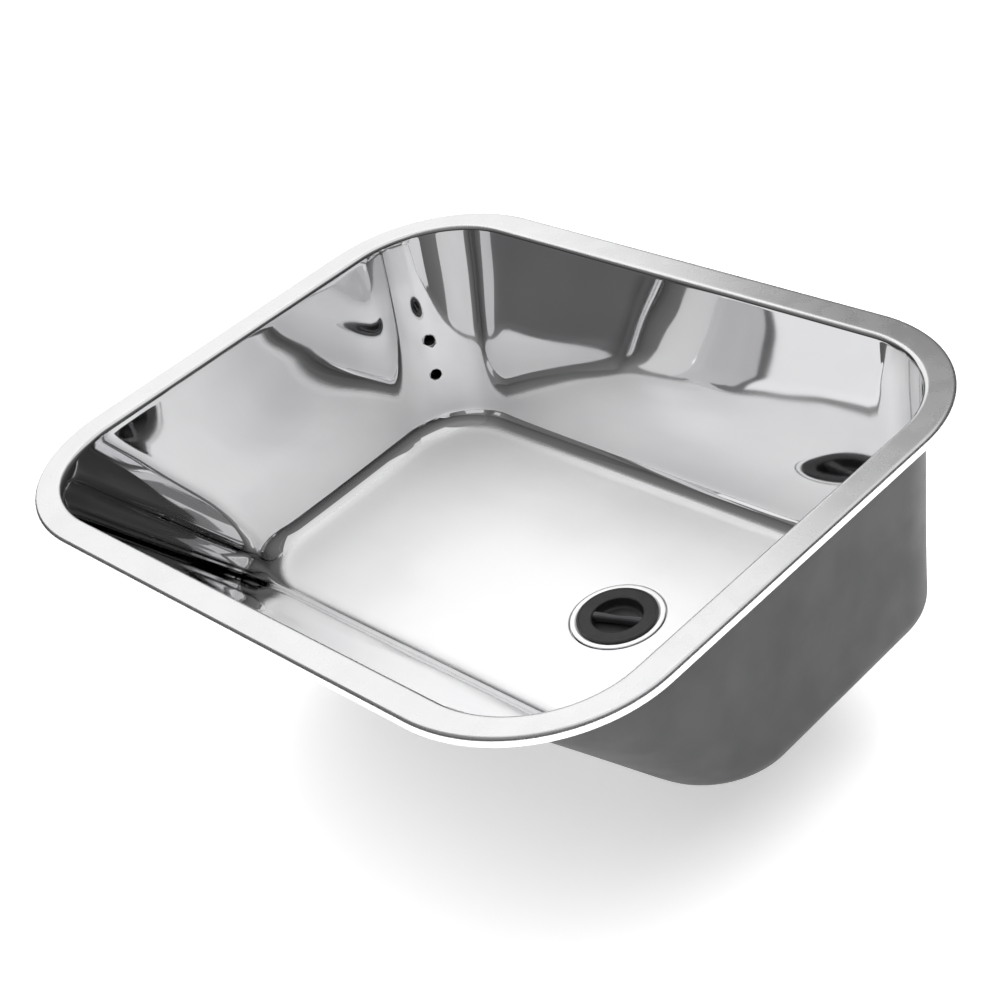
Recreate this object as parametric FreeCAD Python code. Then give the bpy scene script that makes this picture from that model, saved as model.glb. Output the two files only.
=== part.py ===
"""Inset foot bath: a pressed stainless bowl with its waste, lift-out plug and overflow.

Millimetres, +Z up. The origin is the centre of the rim's seat: the plane z = 0 is the top of the
bench that the rim rests on. +X runs along the rim's long side, and -Y is the user's side, where
the wall slopes so that a lower leg can lie against it.
"""

import FreeCAD
import Part
import math
import os

os.makedirs("parts", exist_ok=True)

Vec = FreeCAD.Vector
UP = Vec(0, 0, 1)

# Rim, from outside edge to outside edge
RIM_LENGTH = 532.0
RIM_WIDTH = 440.0
RIM_CORNER = 103.0
RIM_TOP = 6.5
LIP_GAP = 0.4
LIP_BEND = 2.6
SHEET = 1.2
MOUTH_BEND = 4.0

# Bowl, at the plane of the rim's top and with sharp edges
MOUTH_SIDE = 244.5
MOUTH_BACK = 196.5
MOUTH_FRONT = -200.0
MOUTH_CORNER = 76.0
BOWL_DEPTH = 167.0
FLOOR_CORNER = 55.0
SIDE_DRAFT = math.radians(2.7)
BACK_DRAFT = math.radians(9.2)
FRONT_SLOPE = math.radians(50.6)
FLOOR_BLEND = 18.0
FRONT_BLEND = 28.0

# Radial gap between pieces that are fitted loosely
FIT = 0.3

# Seal strip under the rim, measured inwards from the rim's outside edge
SEAL_OUTER_INSET = 2.6
SEAL_INNER_INSET = 14.0

# Waste, with heights counted from the bowl's floor
WASTE_X = 50.5
WASTE_Y = 38.0
RECESS_RADIUS = 34.4
RECESS_DEPTH = 3.0
RECESS_TAPER = 0.8
WASTE_HOLE = 29.0
FLANGE_RADIUS = 33.0
FLANGE_SHEET = 1.0
FLANGE_EDGE = 0.4
FLANGE_TOP = 0.5
SEAT_RADIUS = 30.0
CUP_RADIUS = 23.0
GRID_TOP = -12.5
GRID_RINGS = ((9.8, 6, 2.4), (17.4, 12, 2.5))
UPPER_SEAL_OUTER = 32.8
UPPER_SEAL_INNER = 30.6
LOWER_SEAL = 2.5
BODY_FLANGE = 35.0
BODY_WALL = 33.5
BODY_CAVITY = 30.5
BODY_FLANGE_THICKNESS = 3.5
BODY_CHAMFER = 1.0
BODY_CONE_TOP = -48.8
BODY_CONE_BOTTOM = -60.8
OUTLET_THREAD = 23.9
OUTLET_BORE = 20.0
OUTLET_END = -88.8
BOSS_RADIUS = 7.5
BOSS_END = -37.0
RIB = 2.5
RIB_TOP = -17.0
SCREW_RADIUS = 3.0
SCREW_HEAD = 5.2
SCREW_HEAD_HEIGHT = 2.2
SCREW_SLOT = 1.3
SCREW_END = -33.0
INSERT_RADIUS = 4.5
INSERT_TOP = -22.0
INSERT_END = -34.5

# Plug
PLUG_RADIUS = 28.5
PLUG_TOP = 2.0
PLUG_EDGE = 1.0
PLUG_STEM = 22.3
PLUG_BOTTOM = -9.0
WELL_RADIUS = 18.0
WELL_FLOOR = -6.5
WELL_ROUND = 2.5
BAR_WIDTH = 6.0
BAR_HEIGHT = 5.6
BAR_TOP = 1.0
BAR_REACH = 20.3
BAR_TURN = 20.0
SEAL_GAP = 0.42
SEAL_RISE = 2.08
SEAL_INNER = 24.2

# Overflow: two holes up the wall of the back left corner, and the box soldered over them
OVERFLOW_TURN = 146.8
OVERFLOW_DEPTHS = (88.0, 117.6)
OVERFLOW_HOLE = 4.4
BOX_TOP = 70.0
BOX_BOTTOM = 164.0
BOX_WIDTH = 34.0
BOX_REACH = 78.0
BOX_EDGE = 6.0
BOX_SHEET = 1.0
BOX_TAB = 6.0
SPIGOT_REACH = 66.5
SPIGOT_END = 176.0

# Overflow pipe and its two screwed joints
PIPE_RADIUS = 8.0
PIPE_BORE = 6.5
PIPE_BEND = 21.0
THREAD_RADIUS = 10.0
JOINT_INSERT = 8.0
JOINT_SEAL = 3.0
NUT_RADIUS = 14.5
NUT_OVERLAP = 9.0
NUT_LIP = 2.5
NUT_FLUTES = 12
FLUTE_RADIUS = 1.6
PORT_END = 52.0
PORT_HEIGHT = -35.8

FLOOR_Z = RIM_TOP - BOWL_DEPTH
CORNER_TAPER = (MOUTH_CORNER - FLOOR_CORNER) / BOWL_DEPTH


def rounded_wire(x0, x1, y0, y1, radius, z):
    """Closed outline of a rectangle with round corners, always started at the same place."""
    corners = ((x1, y1, 0), (x0, y1, 90), (x0, y0, 180), (x1, y0, 270))
    arcs = []
    for x, y, start in corners:
        cx = x - math.copysign(radius, x - (x0 + x1) / 2)
        cy = y - math.copysign(radius, y - (y0 + y1) / 2)
        points = []
        for turn in (start, start + 45, start + 90):
            a = math.radians(turn)
            points.append(Vec(cx + radius * math.cos(a), cy + radius * math.sin(a), z))
        arcs.append(points)
    edges = []
    for here, following in zip(arcs, arcs[1:] + arcs[:1]):
        edges.append(Part.Arc(*here).toShape())
        edges.append(Part.LineSegment(here[2], following[0]).toShape())
    return Part.Wire(edges)


def rounded_slab(inset, z0, z1):
    """Slab with the rim's outline, inset by so much."""
    half_x, half_y = RIM_LENGTH / 2 - inset, RIM_WIDTH / 2 - inset
    wire = rounded_wire(-half_x, half_x, -half_y, half_y, RIM_CORNER - inset, z0)
    return Part.Face(wire).extrude(Vec(0, 0, z1 - z0))


def revolved(points, x=0.0, y=0.0, z=0.0):
    """Solid of revolution about a vertical axis from (radius, height) points."""
    corners = [Vec(r, 0, h) for r, h in points]
    face = Part.Face(Part.makePolygon(corners + corners[:1]))
    solid = face.revolve(Vec(0, 0, 0), UP, 360)
    solid.translate(Vec(x, y, z))
    return solid


def tube(outer, inner, z0, z1):
    """Vertical tube about the Z axis."""
    length = z1 - z0
    wall = Part.makeCylinder(outer, length, Vec(0, 0, z0))
    return wall.cut(Part.makeCylinder(inner, length + 2, Vec(0, 0, z0 - 1)))


def at_waste(shape):
    """Move a shape built about the Z axis, from the bowl's floor, to the waste."""
    shape.translate(Vec(WASTE_X, WASTE_Y, FLOOR_Z))
    return shape


def save(node, shape):
    """Write one node, after its seams between like faces are removed."""
    shape = shape.removeSplitter()
    solids = shape.Solids
    assert solids and all(s.isValid() for s in solids), node
    clean = solids[0] if len(solids) == 1 else Part.makeCompound(solids)
    clean.exportStep(os.path.join("parts", node + ".step"))
    print(node, len(solids), round(clean.Volume))


def bowl_outline(depth, grow):
    """Outline of the bowl, with sharp floor edges, at a depth below the rim's top."""
    side = MOUTH_SIDE - depth * math.tan(SIDE_DRAFT) + grow / math.cos(SIDE_DRAFT)
    back = MOUTH_BACK - depth * math.tan(BACK_DRAFT) + grow / math.cos(BACK_DRAFT)
    front = MOUTH_FRONT + depth / math.tan(FRONT_SLOPE) - grow / math.sin(FRONT_SLOPE)
    corner = MOUTH_CORNER - depth * CORNER_TAPER + grow
    return rounded_wire(-side, side, front, back, corner, RIM_TOP - depth)


def blend_floor(sharp, grow):
    """Round the floor's edges: widely along the sloped front, closely round the rest."""
    lowest = sharp.BoundBox.ZMin
    document = FreeCAD.newDocument()
    base = document.addObject("Part::Feature")
    base.Shape = sharp
    blend = document.addObject("Part::Fillet")
    blend.Base = base
    close, wide = FLOOR_BLEND + grow, FRONT_BLEND + grow
    front = min(e.BoundBox.YMax for e in sharp.Edges if e.BoundBox.ZMax < lowest + 0.01)
    radii = []
    for number, edge in enumerate(sharp.Edges, 1):
        if edge.BoundBox.ZMax > lowest + 0.01:
            continue
        ends = []
        for parameter in (edge.FirstParameter, edge.LastParameter):
            at_front = edge.valueAt(parameter).y < front + 0.01
            ends.append(wide if at_front else close)
        radii.append((number, ends[0], ends[1]))
    blend.Edges = radii
    document.recompute()
    shape = blend.Shape.copy()
    FreeCAD.closeDocument(document.Name)
    return shape


def bowl_form(grow, depth_top=0.0):
    """Solid that fills the bowl, grown outwards by so much, from a depth below the rim's top."""
    outlines = [bowl_outline(depth_top, grow), bowl_outline(BOWL_DEPTH + grow, grow)]
    return blend_floor(Part.makeLoft(outlines, True, True), grow)


def waste_recess(grow):
    """Shallow dish pressed into the floor round the waste."""
    top = RECESS_RADIUS + grow
    bottom = RECESS_RADIUS - RECESS_TAPER + grow
    return at_waste(Part.makeCone(bottom, top, RECESS_DEPTH, Vec(0, 0, -RECESS_DEPTH - grow)))


def corner_centre(depth):
    """Centre of the back left corner's round at a depth below the rim's top."""
    x = -MOUTH_SIDE + depth * math.tan(SIDE_DRAFT)
    y = MOUTH_BACK - depth * math.tan(BACK_DRAFT)
    corner = MOUTH_CORNER - depth * CORNER_TAPER
    return Vec(x + corner, y - corner, RIM_TOP - depth)


def overflow_direction():
    """Level direction in which the overflow holes point out of the bowl."""
    a = math.radians(OVERFLOW_TURN)
    return Vec(math.cos(a), math.sin(a), 0)


def basin_shell():
    """Pressed shell: flange, turned-down lip, bowl, waste recess and holes."""
    rim = rounded_slab(0, LIP_GAP, RIM_TOP)
    top_edges = [e for e in rim.Edges if e.BoundBox.ZMin > RIM_TOP - 0.01]
    rim = rim.makeFillet(LIP_BEND, top_edges)
    pocket = rounded_slab(SHEET, LIP_GAP - 1, RIM_TOP - SHEET)
    top_edges = [e for e in pocket.Edges if e.BoundBox.ZMin > RIM_TOP - SHEET - 0.01]
    pocket = pocket.makeFillet(LIP_BEND - SHEET, top_edges)
    shell = rim.cut(pocket).fuse(bowl_form(SHEET, SHEET / 2)).removeSplitter()
    under = RIM_TOP - SHEET
    bend = [
        e for e in shell.Edges
        if abs(e.BoundBox.ZMin - under) < 0.01 and abs(e.BoundBox.ZMax - under) < 0.01
        and abs(e.CenterOfMass.x) < MOUTH_SIDE + 3 and abs(e.CenterOfMass.y) < -MOUTH_FRONT + 4
    ]
    shell = shell.makeFillet(MOUTH_BEND - SHEET, bend)
    shell = shell.fuse(waste_recess(SHEET)).cut(bowl_form(0.0))
    mouth = [
        e for e in shell.Edges
        if e.BoundBox.ZMin > RIM_TOP - 0.01
        and abs(e.CenterOfMass.x) < MOUTH_SIDE + 3 and abs(e.CenterOfMass.y) < -MOUTH_FRONT + 4
    ]
    shell = shell.makeFillet(MOUTH_BEND, mouth)
    shell = shell.cut(waste_recess(0.0))
    hole = at_waste(Part.makeCylinder(WASTE_HOLE, 20, Vec(0, 0, -15)))
    shell = shell.cut(hole)
    for depth in OVERFLOW_DEPTHS:
        start = corner_centre(depth)
        shell = shell.cut(Part.makeCylinder(OVERFLOW_HOLE, 2 * MOUTH_CORNER, start, overflow_direction()))
    return shell


def rim_seal():
    """Strip between the flange and the bench."""
    height = RIM_TOP - SHEET
    strip = rounded_slab(SEAL_OUTER_INSET, 0, height)
    return strip.cut(rounded_slab(SEAL_INNER_INSET, -1, height + 1))


def waste_flange():
    """Satin ring with a conical seat, and a cup whose floor is the strainer."""
    seat = FLANGE_TOP - (SEAT_RADIUS - CUP_RADIUS)
    skin = FLANGE_SHEET
    bevel = skin * math.tan(math.radians(22.5))
    profile = [
        (SCREW_RADIUS + FIT, GRID_TOP), (CUP_RADIUS, GRID_TOP), (CUP_RADIUS, seat),
        (SEAT_RADIUS, FLANGE_TOP), (FLANGE_RADIUS - FLANGE_EDGE, FLANGE_TOP),
        (FLANGE_RADIUS, FLANGE_TOP - FLANGE_EDGE), (FLANGE_RADIUS, FLANGE_TOP - skin),
        (SEAT_RADIUS + bevel, FLANGE_TOP - skin), (CUP_RADIUS + skin, seat - bevel),
        (CUP_RADIUS + skin, GRID_TOP - skin), (SCREW_RADIUS + FIT, GRID_TOP - skin),
    ]
    flange = revolved(profile)
    for ring, count, radius in GRID_RINGS:
        for i in range(count):
            a = 2 * math.pi * i / count
            place = Vec(ring * math.cos(a), ring * math.sin(a), GRID_TOP - 2 * skin)
            flange = flange.cut(Part.makeCylinder(radius, 4 * skin, place))
    return at_waste(flange)


def waste_upper_seal():
    """Rubber ring between the flange and the floor of the recess."""
    top = FLANGE_TOP - FLANGE_SHEET
    return at_waste(tube(UPPER_SEAL_OUTER, UPPER_SEAL_INNER, -RECESS_DEPTH, top))


def waste_lower_seal():
    """Rubber ring between the bowl and the waste body."""
    top = -RECESS_DEPTH - SHEET
    return at_waste(tube(BODY_FLANGE - FIT, WASTE_HOLE + FIT, top - LOWER_SEAL, top))


def port_direction():
    """Level direction from the waste to the overflow's spigot."""
    spigot = spigot_axis()
    return Vec(spigot.x - WASTE_X, spigot.y - WASTE_Y, 0).normalize()


def waste_body():
    """Moulded body: flange, cavity with a ribbed screw boss, outlet thread, overflow port."""
    top = -RECESS_DEPTH - SHEET - LOWER_SEAL
    flange = BODY_FLANGE_THICKNESS
    body = revolved([
        (BODY_CAVITY, top), (BODY_FLANGE, top), (BODY_FLANGE, top - flange),
        (BODY_WALL, top - flange), (BODY_WALL, BODY_CONE_TOP),
        (OUTLET_THREAD + 2, BODY_CONE_BOTTOM), (OUTLET_THREAD + 2, BODY_CONE_BOTTOM - 3),
        (OUTLET_THREAD, BODY_CONE_BOTTOM - 3), (OUTLET_THREAD, OUTLET_END + BODY_CHAMFER),
        (OUTLET_THREAD - BODY_CHAMFER, OUTLET_END), (OUTLET_BORE, OUTLET_END),
        (OUTLET_BORE, BODY_CONE_BOTTOM), (BODY_CAVITY, BODY_CONE_TOP),
    ])
    boss_top = GRID_TOP - FLANGE_SHEET
    boss = Part.makeCylinder(BOSS_RADIUS, boss_top - BOSS_END, Vec(0, 0, BOSS_END))
    reach = (BODY_CAVITY + BODY_WALL) / 2
    for turn in (0, 90):
        rib = Part.makeBox(2 * reach, RIB, RIB_TOP - BOSS_END, Vec(-reach, -RIB / 2, BOSS_END))
        rib.rotate(Vec(0, 0, 0), UP, turn + OVERFLOW_TURN / 2)
        boss = boss.fuse(rib)
    body = body.fuse(boss)
    out = port_direction()
    body = body.fuse(Part.makeCylinder(THREAD_RADIUS, PORT_END - BODY_CAVITY,
                                       out * BODY_CAVITY + Vec(0, 0, PORT_HEIGHT), out))
    body = body.cut(Part.makeCylinder(PIPE_BORE, PORT_END - BODY_CAVITY + 8,
                                      out * (BODY_CAVITY - 4) + Vec(0, 0, PORT_HEIGHT), out))
    body = body.cut(Part.makeCylinder(PIPE_RADIUS, JOINT_INSERT + 1,
                                      out * (PORT_END - JOINT_INSERT) + Vec(0, 0, PORT_HEIGHT), out))
    body = body.cut(Part.makeCylinder(SCREW_RADIUS + FIT, boss_top - INSERT_TOP + 1, Vec(0, 0, INSERT_TOP)))
    body = body.cut(Part.makeCylinder(INSERT_RADIUS, INSERT_TOP - INSERT_END, Vec(0, 0, INSERT_END)))
    return at_waste(body)


def waste_screw():
    """M6 cheese-head screw with a cross slot."""
    head = Part.makeCylinder(SCREW_HEAD, SCREW_HEAD_HEIGHT, Vec(0, 0, GRID_TOP))
    head = head.makeFillet(0.6, [e for e in head.Edges if e.BoundBox.ZMin > GRID_TOP + 2])
    depth = SCREW_HEAD_HEIGHT / 2
    for turn in (0, 90):
        slot = Part.makeBox(2 * SCREW_RADIUS, SCREW_SLOT, depth,
                            Vec(-SCREW_RADIUS, -SCREW_SLOT / 2, GRID_TOP + SCREW_HEAD_HEIGHT - depth))
        slot.rotate(Vec(0, 0, 0), UP, turn)
        head = head.cut(slot)
    shank = Part.makeCylinder(SCREW_RADIUS, GRID_TOP - SCREW_END, Vec(0, 0, SCREW_END))
    return at_waste(head.fuse(shank))


def thread_insert():
    """Brass insert that the screw turns in."""
    return at_waste(tube(INSERT_RADIUS, SCREW_RADIUS, INSERT_END, INSERT_TOP))


def seat_height(radius):
    """Height of the flange's conical seat at a radius."""
    return FLANGE_TOP - (SEAT_RADIUS - radius)


def grip_bar():
    """Bar with a round top, fitted across the finger well."""
    half = BAR_WIDTH / 2
    crown = half * 0.75
    low = BAR_TOP - BAR_HEIGHT
    left, right = Vec(0, -half, BAR_TOP - crown), Vec(0, half, BAR_TOP - crown)
    outline = Part.Wire([
        Part.Arc(left, Vec(0, 0, BAR_TOP), right).toShape(),
        Part.LineSegment(right, Vec(0, half, low)).toShape(),
        Part.LineSegment(Vec(0, half, low), Vec(0, -half, low)).toShape(),
        Part.LineSegment(Vec(0, -half, low), left).toShape(),
    ])
    bar = Part.Face(outline).extrude(Vec(2 * BAR_REACH, 0, 0))
    bar.translate(Vec(-BAR_REACH, 0, 0))
    bar = bar.common(Part.makeCylinder(BAR_REACH, 2 * BAR_HEIGHT, Vec(0, 0, low - 1)))
    bar.rotate(Vec(0, 0, 0), UP, BAR_TURN)
    return at_waste(bar)


def plug_body():
    """Plug with a broad ring, a round finger well and a stem that enters the cup."""
    underside = SEAL_GAP + SEAL_RISE
    shoulder = PLUG_RADIUS - 0.5
    body = revolved([
        (0, PLUG_BOTTOM), (PLUG_STEM, PLUG_BOTTOM), (PLUG_STEM, seat_height(PLUG_STEM) + underside),
        (shoulder, seat_height(shoulder) + underside), (PLUG_RADIUS, seat_height(shoulder) + underside),
        (PLUG_RADIUS, PLUG_TOP), (WELL_RADIUS, PLUG_TOP), (WELL_RADIUS, WELL_FLOOR), (0, WELL_FLOOR),
    ])
    brow = [e for e in body.Edges if e.BoundBox.ZMin > PLUG_TOP - 0.01 and e.Length > 2 * PLUG_RADIUS]
    body = body.makeFillet(PLUG_EDGE / 2, brow)
    well = [
        e for e in body.Edges
        if abs(e.BoundBox.ZMax - WELL_FLOOR) < 0.01 and abs(e.BoundBox.XMax - WELL_RADIUS) < 0.01
    ]
    body = body.makeFillet(WELL_ROUND, well)
    return at_waste(body).cut(grip_bar())


def plug_seal():
    """Conical rubber ring on the plug, just clear of the seat."""
    outer = PLUG_RADIUS - 0.5
    return at_waste(revolved([
        (SEAL_INNER, seat_height(SEAL_INNER) + SEAL_GAP), (outer, seat_height(outer) + SEAL_GAP),
        (outer, seat_height(outer) + SEAL_GAP + SEAL_RISE),
        (SEAL_INNER, seat_height(SEAL_INNER) + SEAL_GAP + SEAL_RISE),
    ]))


def radial_box(reach0, reach1, width, depth0, depth1, edge):
    """Upright box outside the back left corner, with its outer upright edges rounded."""
    centre = corner_centre((BOX_TOP + BOX_BOTTOM) / 2)
    box = Part.makeBox(reach1 - reach0, width, depth1 - depth0,
                       Vec(reach0, -width / 2, RIM_TOP - depth1))
    if edge:
        rounded = [
            e for e in box.Edges
            if e.BoundBox.ZLength > 1 and e.BoundBox.XMin > reach1 - 0.01
        ]
        rounded += [e for e in box.Edges if e.BoundBox.ZMin > RIM_TOP - depth0 - 0.01
                    and e.BoundBox.XMin > reach1 - 0.01]
        box = box.makeFillet(edge, rounded)
    box.rotate(Vec(0, 0, 0), UP, OVERFLOW_TURN)
    box.translate(Vec(centre.x, centre.y, 0))
    return box


def spigot_axis():
    """Point on the vertical axis of the overflow's spigot, at the box's underside."""
    centre = corner_centre((BOX_TOP + BOX_BOTTOM) / 2)
    out = overflow_direction() * SPIGOT_REACH
    return Vec(centre.x + out.x, centre.y + out.y, RIM_TOP - BOX_BOTTOM)


def overflow_box():
    """Pressed cover over the two holes, with a tab all round that is soldered to the wall."""
    skin = BOX_SHEET
    near = MOUTH_CORNER - 30
    outer = radial_box(near, BOX_REACH, BOX_WIDTH, BOX_TOP, BOX_BOTTOM, BOX_EDGE)
    inner = radial_box(near - 5, BOX_REACH - skin, BOX_WIDTH - 2 * skin,
                       BOX_TOP + skin, BOX_BOTTOM - skin, BOX_EDGE - skin)
    tab = radial_box(near, BOX_REACH - 2, BOX_WIDTH + 2 * BOX_TAB,
                     BOX_TOP - BOX_TAB, BOX_BOTTOM, 0)
    tab = tab.common(bowl_form(SHEET + skin, 30.0))
    cover = outer.fuse(tab).cut(inner).cut(bowl_form(SHEET, 20.0))
    axis = spigot_axis()
    return cover.cut(Part.makeCylinder(THREAD_RADIUS, 20, axis - Vec(0, 0, 10)))


def overflow_spigot():
    """Threaded stub brazed into the box's underside, bored to take the pipe's end."""
    axis = spigot_axis()
    top = RIM_TOP - BOX_BOTTOM + 1.5 * BOX_SHEET
    end = RIM_TOP - SPIGOT_END
    stub = tube(THREAD_RADIUS, PIPE_BORE, end, top)
    stub = stub.cut(Part.makeCylinder(PIPE_RADIUS, JOINT_INSERT, Vec(0, 0, end)))
    stub.translate(Vec(axis.x, axis.y, 0))
    return stub


def joint_seal():
    """Square-section rubber ring round the pipe, against a stub that ends at z = 0."""
    return tube(THREAD_RADIUS, PIPE_RADIUS, 0, JOINT_SEAL)


def union_nut():
    """Fluted hand nut over the stub, the seal and the pipe. The stub ends at z = 0."""
    end = JOINT_SEAL + NUT_LIP
    nut = tube(NUT_RADIUS, THREAD_RADIUS, -NUT_OVERLAP, end)
    nut = nut.fuse(tube(NUT_RADIUS, PIPE_RADIUS + FIT, JOINT_SEAL, end))
    for i in range(NUT_FLUTES):
        a = 2 * math.pi * i / NUT_FLUTES
        place = Vec(NUT_RADIUS * math.cos(a), NUT_RADIUS * math.sin(a), -NUT_OVERLAP - 1)
        nut = nut.cut(Part.makeCylinder(FLUTE_RADIUS, NUT_OVERLAP + end + 2, place))
    return nut


def at_joint(shape, end, direction):
    """Place a shape built along +Z, from the stub's end, onto a stub."""
    turn = FreeCAD.Rotation(UP, direction)
    shape.Placement = FreeCAD.Placement(end, turn)
    return shape


def upper_joint():
    """End of the spigot and the direction of the pipe there."""
    axis = spigot_axis()
    return Vec(axis.x, axis.y, RIM_TOP - SPIGOT_END), Vec(0, 0, -1)


def lower_joint():
    """End of the waste body's port and the direction of the pipe there."""
    out = port_direction()
    return Vec(WASTE_X, WASTE_Y, FLOOR_Z + PORT_HEIGHT) + out * PORT_END, out


def overflow_pipe():
    """Rigid pipe: down from the spigot, one round bend, and level to the waste body."""
    upper, _ = upper_joint()
    lower, out = lower_joint()
    start = upper + Vec(0, 0, JOINT_INSERT)
    corner = Vec(upper.x, upper.y, lower.z)
    before = corner + Vec(0, 0, PIPE_BEND)
    after = corner - out * PIPE_BEND
    centre = before - out * PIPE_BEND
    middle = centre + (corner - centre).normalize() * PIPE_BEND
    end = lower - out * JOINT_INSERT
    path = Part.Wire([
        Part.LineSegment(start, before).toShape(),
        Part.Arc(before, middle, after).toShape(),
        Part.LineSegment(after, end).toShape(),
    ])
    solids = []
    for radius in (PIPE_RADIUS, PIPE_BORE):
        ring = Part.Wire(Part.makeCircle(radius, start, Vec(0, 0, -1)))
        solids.append(path.makePipeShell([ring], True, True))
    print("overflow pipe: length", round(path.Length, 1), "bend", PIPE_BEND)
    return solids[0].cut(solids[1])


save("basin_shell", basin_shell())
save("rim_seal", rim_seal())
save("waste_flange", waste_flange())
save("waste_upper_seal", waste_upper_seal())
save("waste_lower_seal", waste_lower_seal())
save("waste_body", waste_body())
save("waste_screw", waste_screw())
save("thread_insert", thread_insert())
save("plug_body", plug_body())
save("plug_grip_bar", grip_bar())
save("plug_seal", plug_seal())
save("overflow_box", overflow_box())
save("overflow_spigot", overflow_spigot())
save("overflow_pipe", overflow_pipe())
for place, joint in (("upper", upper_joint()), ("lower", lower_joint())):
    save(place + "_union_nut", at_joint(union_nut(), *joint))
    save(place + "_union_seal", at_joint(joint_seal(), *joint))
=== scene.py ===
"""Looks for the inset foot bath: a mirror-polished pressed bowl with a satin rim and floor.

Everything is in metres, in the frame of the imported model: the origin is the centre of the rim's
seat, +Z is up, and -Y is the user's side, where the wall slopes.
"""

import bpy
import bmesh
import math
import numpy as np
from mathutils import Matrix, Vector, noise


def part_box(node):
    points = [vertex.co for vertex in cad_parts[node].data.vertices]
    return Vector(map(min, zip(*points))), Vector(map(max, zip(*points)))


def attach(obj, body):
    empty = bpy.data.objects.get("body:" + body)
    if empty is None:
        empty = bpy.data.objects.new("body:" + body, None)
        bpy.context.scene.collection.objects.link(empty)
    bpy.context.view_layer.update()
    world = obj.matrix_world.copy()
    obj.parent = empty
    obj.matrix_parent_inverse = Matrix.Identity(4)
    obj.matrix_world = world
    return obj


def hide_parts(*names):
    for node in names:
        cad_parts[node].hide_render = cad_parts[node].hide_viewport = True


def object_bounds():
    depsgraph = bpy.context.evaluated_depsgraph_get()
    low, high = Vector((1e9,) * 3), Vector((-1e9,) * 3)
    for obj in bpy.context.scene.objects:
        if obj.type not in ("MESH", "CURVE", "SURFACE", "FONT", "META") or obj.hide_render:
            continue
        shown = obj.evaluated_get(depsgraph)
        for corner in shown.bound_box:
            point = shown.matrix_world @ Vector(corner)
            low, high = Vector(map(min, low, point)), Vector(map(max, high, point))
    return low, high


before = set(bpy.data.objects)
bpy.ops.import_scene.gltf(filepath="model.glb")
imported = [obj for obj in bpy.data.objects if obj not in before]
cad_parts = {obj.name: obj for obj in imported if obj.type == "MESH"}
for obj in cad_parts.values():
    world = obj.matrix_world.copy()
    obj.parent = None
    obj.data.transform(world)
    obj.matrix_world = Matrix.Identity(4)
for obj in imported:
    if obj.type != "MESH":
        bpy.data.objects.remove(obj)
CAD_BOX = [list(corner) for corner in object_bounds()]

MM = 0.001

# Shell, with depths counted down from the rim's top
SHELL_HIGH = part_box("basin_shell")[1]
RIM_X, RIM_Y, RIM_TOP = SHELL_HIGH.x, SHELL_HIGH.y, SHELL_HIGH.z
RIM_CORNER = 103 * MM
LIP_LOW, LIP_BEND = 0.4 * MM, 2.6 * MM
SHEET = 1.2 * MM
MOUTH_SIDE, MOUTH_BACK, MOUTH_FRONT = 244.5 * MM, 196.5 * MM, 200 * MM
MOUTH_CORNER, FLOOR_CORNER, MOUTH_BEND = 76 * MM, 55 * MM, 4 * MM
DEPTH = 167 * MM
FLOOR_Z = RIM_TOP - DEPTH
SIDE_SLOPE, BACK_SLOPE, FRONT_SLOPE = (math.radians(a) for a in (87.3, 80.8, 50.6))
FLOOR_BLEND, FRONT_BLEND = 18 * MM, 28 * MM

# Waste and overflow
FLANGE_LOW, FLANGE_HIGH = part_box("waste_flange")
WASTE = Vector(((FLANGE_LOW.x + FLANGE_HIGH.x) / 2, (FLANGE_LOW.y + FLANGE_HIGH.y) / 2, FLOOR_Z))
RECESS, RECESS_TAPER, RECESS_DEPTH, WASTE_HOLE = 34.4 * MM, 0.8 * MM, 3 * MM, 29 * MM
OVERFLOW_TURN = math.radians(146.8)
OVERFLOW_DEPTHS, OVERFLOW_HOLE = (88 * MM, 117.6 * MM), 4.4 * MM

# Waste body, counted from the bowl's floor
OUTLET_COLLAR, OUTLET_END, PORT_HEIGHT, PORT_END = -63.8 * MM, -88.8 * MM, -35.8 * MM, 52 * MM

# Seat of the waste, counted from its axis and from the bowl's floor
FLANGE_TOP, SEAT_RADIUS = 0.5 * MM, 30 * MM

# Bow of the left and back walls: where negative, out above mid-depth and in below it
LEFT_SAG, BACK_SAG = -2 * MM, -1 * MM

# Shallow waves of the pressing, and the finer ripple of its polish
WAVE, RIPPLE = 1.1 * MM, 0.14 * MM

# Edges that turn by more than this stay sharp
SHARP = math.radians(40)

# Steps round a quarter corner, along a long side and along a short side
CORNER_STEPS, LONG_STEPS, SHORT_STEPS = 26, 52, 40
COLUMNS = 4 * CORNER_STEPS + 2 * LONG_STEPS + 2 * SHORT_STEPS


# ---------------------------------------------------------------- mesh helpers

def mesh_piece(name, verts, faces, *materials):
    """Smooth mesh piece from points and faces."""
    mesh = bpy.data.meshes.new(name)
    mesh.from_pydata([tuple(v) for v in verts], [], faces)
    mesh.validate()
    mesh.shade_smooth()
    piece = bpy.data.objects.new(name, mesh)
    bpy.context.scene.collection.objects.link(piece)
    for made in materials:
        mesh.materials.append(made)
    return piece


def bake_modifiers(piece):
    """Make the modifiers' result the piece's own mesh."""
    graph = bpy.context.evaluated_depsgraph_get()
    mesh = bpy.data.meshes.new_from_object(piece.evaluated_get(graph))
    piece.modifiers.clear()
    piece.data = mesh


def smoothstep(t):
    """0 to 1 with level ends."""
    t = np.clip(t, 0, 1)
    return t * t * (3 - 2 * t)


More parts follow.
